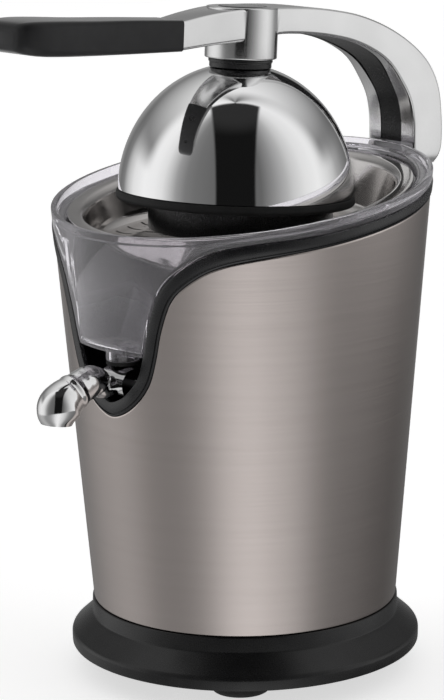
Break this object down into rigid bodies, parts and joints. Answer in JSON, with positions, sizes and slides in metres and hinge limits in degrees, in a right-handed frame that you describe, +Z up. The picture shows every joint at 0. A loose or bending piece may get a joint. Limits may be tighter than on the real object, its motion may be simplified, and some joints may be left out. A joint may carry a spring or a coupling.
{
  "type": "citrus press juicer",
  "caption": "Lever citrus press: steel body, clear juice container with drip-stop spout, ribbed motor-driven reamer, and a hinged arm with a chrome dome.",
  "frame": {"origin": "on the surface under the feet, in the middle of the whole width and length; the body axis is 9.5 mm behind it", "axes": "+Z up, -Y towards the spout and the lever grip, +X to the right seen from the front"},
  "size_m": [0.1924, 0.2773, 0.3433],
  "materials": {
    "black_plastic": "satin moulded",
    "rubber": "matte",
    "zinc": "plated",
    "brushed_steel": "horizontal brushed",
    "nylon": "moulded",
    "smoke_clear": "clear smoked moulding",
    "spout_chrome": "polished",
    "strainer_steel": "satin",
    "satin_chrome": "satin",
    "grip_black": "matte",
    "mirror_steel": "mirror polished",
    "motor_steel": "plain"
  },
  "bodies": {
    "body": {"base_ring": "black_plastic", "base_plate": "black_plastic", "foot_1": "rubber", "foot_2": "rubber", "foot_3": "rubber", "foot_4": "rubber", "base_screw_1": "zinc", "base_screw_2": "zinc", "base_screw_3": "zinc", "base_screw_4": "zinc", "cable_inlet": "rubber", "steel_shell": "brushed_steel", "rim_trim": "black_plastic", "inner_housing": "black_plastic", "hinge_bracket": "zinc", "hinge_bush": "nylon", "juice_container": "smoke_clear", "outlet_seal": "rubber", "spout_pin": "zinc", "strainer": "strainer_steel", "idler_axle": "zinc", "motor_can": "motor_steel", "motor_bearing_upper": "nylon", "motor_bearing_lower": "nylon", "gear_tray": "black_plastic", "microswitch": "black_plastic", "shaft_bush_lower": "nylon", "shaft_bush_upper": "nylon", "shaft_seal": "rubber", "return_spring": "zinc"},
    "arm": {"press_arm": "satin_chrome", "grip": "grip_black", "grip_screw_1": "zinc", "grip_screw_2": "zinc", "hub_cap": "grip_black", "hinge_pin": "zinc", "hinge_cap": "satin_chrome", "dome": "mirror_steel", "dome_liner": "black_plastic", "dome_gasket": "rubber", "dome_collar": "black_plastic", "dome_screw": "zinc"},
    "spout_body": {"spout": "spout_chrome"},
    "press_carrier": {"thrust_washer": "zinc"},
    "cone": {"reamer": "black_plastic", "drive_shaft": "zinc", "output_gear": "nylon"},
    "idler": {"idler_gear": "nylon"},
    "rotor": {"motor_rotor": "motor_steel", "motor_pinion": "zinc"},
    "plunger": {"switch_plunger": "rubber"}
  },
  "joints": [
    {"name": "arm_hinge", "type": "hinge", "parent": "body", "child": "arm", "pos_m": [0, 0.1278, 0.2585], "axis": [-1, 0, 0], "range_deg": [0, 75]},
    {"name": "spout_tilt", "type": "hinge", "parent": "body", "child": "spout_body", "pos_m": [0, -0.0695, 0.16], "axis": [-1, 0, 0], "range_deg": [0, 20]},
    {"name": "cone_press", "type": "slide", "parent": "body", "child": "press_carrier", "axis": [0, 0, -1], "range_m": [0, 0.0025], "stiffness_N_per_m": 2000, "springref_m": -0.004, "deforming": ["return_spring"]},
    {"name": "cone_spin", "type": "hinge", "parent": "press_carrier", "child": "cone", "pos_m": [0, 0.0095, 0.24], "axis": [0, 0, 1], "continuous": true},
    {"name": "idler_spin", "type": "hinge", "parent": "body", "child": "idler", "pos_m": [0, 0.032, 0.17], "axis": [0, 0, 1], "continuous": true},
    {"name": "rotor_spin", "type": "hinge", "parent": "body", "child": "rotor", "pos_m": [0, 0.0095, 0.15], "axis": [0, 0, 1], "continuous": true},
    {"name": "switch_press", "type": "slide", "parent": "body", "child": "plunger", "axis": [0, 0, -1], "range_m": [0, 0.0025]}
  ],
  "couplings": [
    {"joint": "idler_spin", "follows": "cone_spin", "ratio": -4},
    {"joint": "rotor_spin", "follows": "cone_spin", "ratio": 16},
    {"joint": "switch_press", "follows": "cone_press", "ratio": 1}
  ]
}
